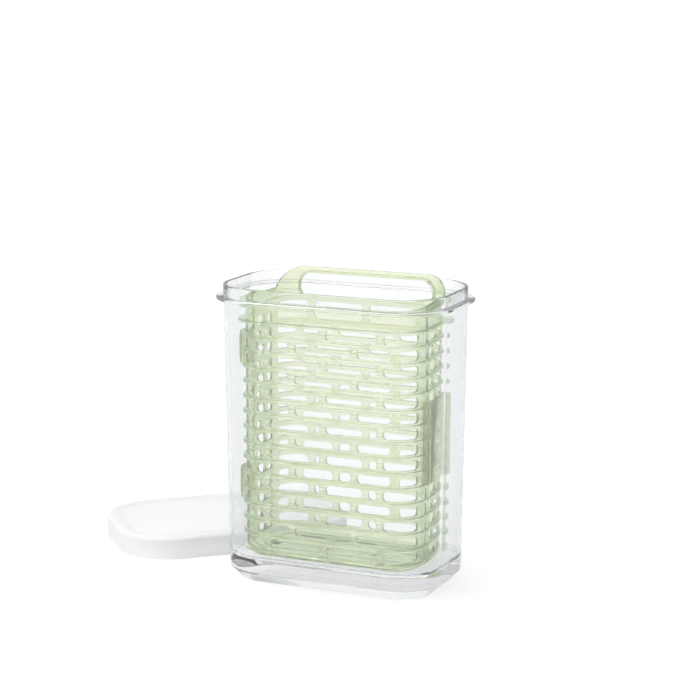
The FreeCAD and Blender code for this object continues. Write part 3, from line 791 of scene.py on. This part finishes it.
def basket_plastic(group, name, bending, edge_on):
    """Pale green and see-through, with its own colour where it is seen along its length."""
    material, tree, shader, out = new_material(name)
    shader.inputs["Transmission Weight"].default_value = 0.87
    shader.inputs["IOR"].default_value = bending
    marks = add_marks(tree, shader, group, cloud=60.0, grain=900.0, share=0.2,
                      rough=(0.03, 0.08), bump=(0.05, 0.3 * MM))
    face_on = tint_by_mask(tree, shader, marks, (0.93, 0.95, 0.76), (0.945, 0.96, 0.80))
    tint_edge_on(tree, shader, face_on, colour=edge_on, blend=0.38)
    let_light_through(tree, shader, out, share=0.85)
    return material


def lid_plastic(group):
    """Milky white that lets some light through."""
    material, tree, shader, out = new_material("lid_plastic")
    shader.inputs["Transmission Weight"].default_value = 0.42
    shader.inputs["IOR"].default_value = 1.35
    marks = add_marks(tree, shader, group, cloud=30.0, grain=1200.0, share=0.4,
                      rough=(0.34, 0.44), bump=(0.04, 0.3 * MM))
    tint_by_mask(tree, shader, marks, (0.985, 0.988, 0.99), (0.99, 0.992, 0.995))
    let_light_through(tree, shader, out, share=0.7)
    return material


# Stage

FLOOR_REACH = 16.0
FLOOR_COLOUR = (0.86, 0.86, 0.865, 1)
WORLD_COLOUR = (0.98, 0.99, 1.0, 1)
WORLD_LIGHT = 0.42

# The white added for the camera, what clear pieces lose of it, and what shows of it in gloss.
FLOOR_GLOW = 0.27
FLOOR_MIRROR = 0.08
WORLD_MIRROR = 0.28
THROUGH_LOSS = 0.045

SUN_POWER = 1.6
SUN_SPREAD = 70.0
SUN_FROM = (-0.25, -0.2, 1.0)

LAMPS = [
    # name, place, aim, width, height, power
    ("fill_right", (1.3, -0.6, 0.7), (0, 0, 0.10), 0.7, 1.0, 1.2),
    ("fill_front", (-0.9, -1.3, 0.5), (0, 0, 0.08), 1.2, 0.8, 4.5),
    ("back_left", (-0.9, 0.9, 0.9), (0, 0, 0.10), 0.6, 1.0, 1.0),
]


def white_for_sight(tree, target, shader, seen, through, mirrored):
    """Add plain white: so much as seen, so much through clear pieces and so much in gloss."""
    path = tree.nodes.new("ShaderNodeLightPath")
    glow = tree.nodes.new("ShaderNodeEmission")
    glow.inputs["Color"].default_value = (1, 1, 1, 1)
    strength = None
    for label, share in (("Is Camera Ray", seen), ("Is Transmission Ray", through),
                         ("Is Glossy Ray", mirrored)):
        scale = tree.nodes.new("ShaderNodeMath")
        scale.operation = "MULTIPLY"
        scale.inputs[1].default_value = share
        tree.links.new(path.outputs[label], scale.inputs[0])
        if strength is None:
            strength = scale
            continue
        most = tree.nodes.new("ShaderNodeMath")
        most.operation = "MAXIMUM"
        tree.links.new(strength.outputs["Value"], most.inputs[0])
        tree.links.new(scale.outputs["Value"], most.inputs[1])
        strength = most
    tree.links.new(strength.outputs["Value"], glow.inputs["Strength"])
    add = tree.nodes.new("ShaderNodeAddShader")
    tree.links.new(shader.outputs[0], add.inputs[0])
    tree.links.new(glow.outputs["Emission"], add.inputs[1])
    tree.links.new(add.outputs["Shader"], target.inputs["Surface"])


def make_floor():
    """A wide pale table top that keeps the pieces' shadows."""
    mesh = bpy.data.meshes.new("floor")
    corners = [(x * FLOOR_REACH, y * FLOOR_REACH, 0)
               for x, y in ((-1, -1), (1, -1), (1, 1), (-1, 1))]
    mesh.from_pydata(corners, [], [(0, 1, 2, 3)])
    floor = bpy.data.objects.new("floor", mesh)
    bpy.context.scene.collection.objects.link(floor)
    material, tree, shader, out = new_material("floor_white")
    shader.inputs["Base Color"].default_value = FLOOR_COLOUR
    shader.inputs["Roughness"].default_value = 0.6
    shader.inputs["Specular IOR Level"].default_value = 0.1
    white_for_sight(tree, out, shader, FLOOR_GLOW, FLOOR_GLOW - THROUGH_LOSS, FLOOR_MIRROR)
    mesh.materials.append(material)


def make_world():
    """Even light from all round."""
    world = bpy.data.worlds.new("studio")
    bpy.context.scene.world = world
    world.use_nodes = True
    tree = world.node_tree
    tree.nodes.clear()
    out = tree.nodes.new("ShaderNodeOutputWorld")
    light = tree.nodes.new("ShaderNodeBackground")
    light.inputs["Color"].default_value = WORLD_COLOUR
    light.inputs["Strength"].default_value = WORLD_LIGHT
    white = 1 - WORLD_LIGHT
    white_for_sight(tree, out, light, white, white - THROUGH_LOSS, WORLD_MIRROR)


def hang_lamp(data, place, aim):
    """Put a lamp in its place and turn it towards its aim."""
    lamp = bpy.data.objects.new(data.name, data)
    lamp.location = place
    lamp.rotation_euler = (Vector(aim) - Vector(place)).to_track_quat("-Z", "Y").to_euler()
    bpy.context.scene.collection.objects.link(lamp)


def make_lamps():
    """A wide, soft key light from above, and three weak panels for highlights."""
    data = bpy.data.lights.new("key_above", "SUN")
    data.energy = SUN_POWER
    data.angle = math.radians(SUN_SPREAD)
    hang_lamp(data, SUN_FROM, (0, 0, 0))
    for name, place, aim, wide, tall, power in LAMPS:
        data = bpy.data.lights.new(name, "AREA")
        data.shape = "RECTANGLE"
        data.size = wide
        data.size_y = tall
        data.energy = power
        hang_lamp(data, place, aim)


make_camera()
make_floor()
make_world()
make_lamps()

marks_group = moulding_group()
make_container(clear_plastic(marks_group))
make_lid(lid_plastic(marks_group))
thin_plastic = basket_plastic(marks_group, "basket_plastic", THIN_BENDING, THIN_EDGE_GREEN)
thick_plastic = basket_plastic(marks_group, "basket_thick_plastic", THICK_BENDING,
                               THICK_EDGE_GREEN)
make_basket(thin_plastic, thick_plastic)

bpy.context.scene.view_settings.view_transform = "Standard"
